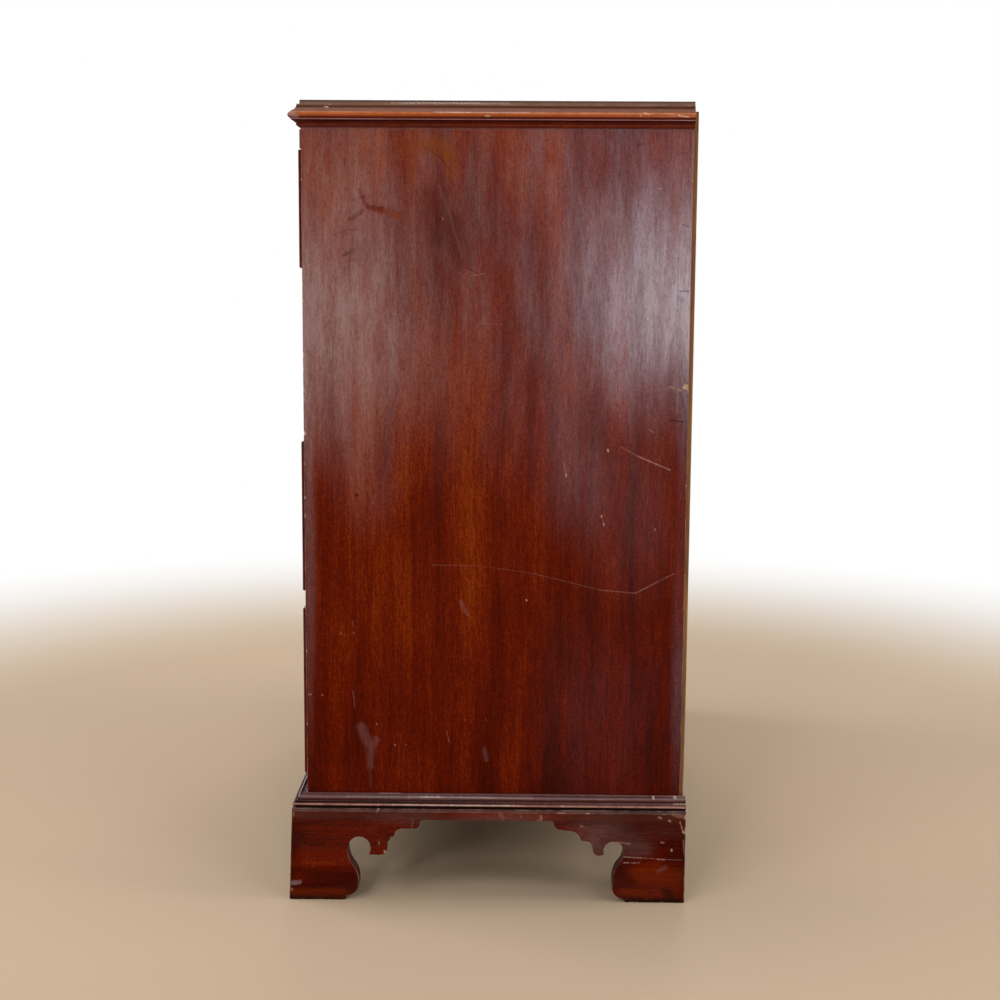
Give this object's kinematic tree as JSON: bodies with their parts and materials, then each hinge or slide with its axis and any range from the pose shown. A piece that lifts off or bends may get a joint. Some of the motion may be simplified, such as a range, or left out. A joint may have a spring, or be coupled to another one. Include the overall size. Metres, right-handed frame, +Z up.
{
  "type": "bachelors chest",
  "caption": "Narrow chest of graduated long drawers with a pull-out brushing slide, moulded top and pierced bracket feet; drawers, slide and swing handles move.",
  "frame": {"origin": "on the floor, in the middle of the chest's outer box, handles counted", "axes": "+Z up; X along the front; the drawers face and open towards -Y, the back is at +Y"},
  "size_m": [0.79, 0.4269, 0.8415],
  "materials": {
    "mahogany_side": "old French polish over plain mahogany, grain upright",
    "mahogany_top": "old French polish, grain along the length",
    "mahogany_moulding": "polished, rubbed pale on the edges",
    "mahogany_plinth": "polished, grain level, scuffed at the floor",
    "mahogany_front": "old French polish, grain level",
    "mahogany_bead": "polished",
    "mahogany_rail": "polished",
    "mahogany_slide": "satin polish",
    "oak_lining": "bare, aged",
    "pine_back": "bare, darkened",
    "pine_inside": "bare, dusty",
    "brass": "cast and rubbed, dull in the hollows",
    "brass_lock": "dull",
    "iron": "dark forged nails"
  },
  "bodies": {
    "carcass": {"back_nails": "iron", "backboards": "pine_back", "base_moulding": "mahogany_moulding", "bed_moulding": "mahogany_moulding", "bottom_board": "pine_inside", "bottom_rail": "mahogany_rail", "drawer_stops": "pine_inside", "dustboards": "pine_inside", "glue_blocks": "pine_inside", "plinth_front": "mahogany_plinth", "plinth_left": "mahogany_plinth", "plinth_right": "mahogany_plinth", "rail_1": "mahogany_rail", "rail_2": "mahogany_rail", "rail_3": "mahogany_rail", "rear_brackets": "pine_inside", "side_left": "mahogany_side", "side_right": "mahogany_side", "slide_rail": "mahogany_rail", "top_board": "mahogany_top", "top_frame": "pine_inside"},
    "slide": {"slide_board": "mahogany_slide", "slide_lipping": "mahogany_rail", "slide_knobs": "brass"},
    "drawer_1": {"drawer_1_front": "mahogany_front", "drawer_1_sides": "oak_lining", "drawer_1_back": "oak_lining", "drawer_1_bottom": "oak_lining", "drawer_1_cockbeads": "mahogany_bead", "drawer_1_lock": "brass_lock", "drawer_1_posts": "brass"},
    "drawer_1_bail_left": {"drawer_1_bail_left": "brass"},
    "drawer_1_bail_right": {"drawer_1_bail_right": "brass"},
    "drawer_2": {"drawer_2_front": "mahogany_front", "drawer_2_sides": "oak_lining", "drawer_2_back": "oak_lining", "drawer_2_bottom": "oak_lining", "drawer_2_cockbeads": "mahogany_bead", "drawer_2_lock": "brass_lock", "drawer_2_posts": "brass"},
    "drawer_2_bail_left": {"drawer_2_bail_left": "brass"},
    "drawer_2_bail_right": {"drawer_2_bail_right": "brass"},
    "drawer_3": {"drawer_3_front": "mahogany_front", "drawer_3_sides": "oak_lining", "drawer_3_back": "oak_lining", "drawer_3_bottom": "oak_lining", "drawer_3_cockbeads": "mahogany_bead", "drawer_3_lock": "brass_lock", "drawer_3_posts": "brass"},
    "drawer_3_bail_left": {"drawer_3_bail_left": "brass"},
    "drawer_3_bail_right": {"drawer_3_bail_right": "brass"},
    "drawer_4": {"drawer_4_front": "mahogany_front", "drawer_4_sides": "oak_lining", "drawer_4_back": "oak_lining", "drawer_4_bottom": "oak_lining", "drawer_4_cockbeads": "mahogany_bead", "drawer_4_lock": "brass_lock", "drawer_4_posts": "brass"},
    "drawer_4_bail_left": {"drawer_4_bail_left": "brass"},
    "drawer_4_bail_right": {"drawer_4_bail_right": "brass"}
  },
  "joints": [
    {"name": "slide_pull", "type": "slide", "parent": "carcass", "child": "slide", "axis": [0, -1, 0], "range_m": [0, 0.24]},
    {"name": "drawer_1_pull", "type": "slide", "parent": "carcass", "child": "drawer_1", "axis": [0, -1, 0], "range_m": [0, 0.28]},
    {"name": "drawer_1_bail_left_swing", "type": "hinge", "parent": "drawer_1", "child": "drawer_1_bail_left", "pos_m": [-0.18, -0.207, 0.745], "axis": [-1, 0, 0], "range_deg": [-15, 100]},
    {"name": "drawer_1_bail_right_swing", "type": "hinge", "parent": "drawer_1", "child": "drawer_1_bail_right", "pos_m": [0.18, -0.207, 0.745], "axis": [-1, 0, 0], "range_deg": [-15, 100]},
    {"name": "drawer_2_pull", "type": "slide", "parent": "carcass", "child": "drawer_2", "axis": [0, -1, 0], "range_m": [0, 0.28]},
    {"name": "drawer_2_bail_left_swing", "type": "hinge", "parent": "drawer_2", "child": "drawer_2_bail_left", "pos_m": [-0.18, -0.2038, 0.594], "axis": [-1, 0, 0], "range_deg": [-15, 100]},
    {"name": "drawer_2_bail_right_swing", "type": "hinge", "parent": "drawer_2", "child": "drawer_2_bail_right", "pos_m": [0.18, -0.2038, 0.594], "axis": [-1, 0, 0], "range_deg": [-15, 100]},
    {"name": "drawer_3_pull", "type": "slide", "parent": "carcass", "child": "drawer_3", "axis": [0, -1, 0], "range_m": [0, 0.28]},
    {"name": "drawer_3_bail_left_swing", "type": "hinge", "parent": "drawer_3", "child": "drawer_3_bail_left", "pos_m": [-0.18, -0.207, 0.4235], "axis": [-1, 0, 0], "range_deg": [-15, 100]},
    {"name": "drawer_3_bail_right_swing", "type": "hinge", "parent": "drawer_3", "child": "drawer_3_bail_right", "pos_m": [0.18, -0.207, 0.4235], "axis": [-1, 0, 0], "range_deg": [-15, 100]},
    {"name": "drawer_4_pull", "type": "slide", "parent": "carcass", "child": "drawer_4", "axis": [0, -1, 0], "range_m": [0, 0.28]},
    {"name": "drawer_4_bail_left_swing", "type": "hinge", "parent": "drawer_4", "child": "drawer_4_bail_left", "pos_m": [-0.18, -0.207, 0.2335], "axis": [-1, 0, 0], "range_deg": [-15, 100]},
    {"name": "drawer_4_bail_right_swing", "type": "hinge", "parent": "drawer_4", "child": "drawer_4_bail_right", "pos_m": [0.18, -0.207, 0.2335], "axis": [-1, 0, 0], "range_deg": [-15, 100]}
  ]
}
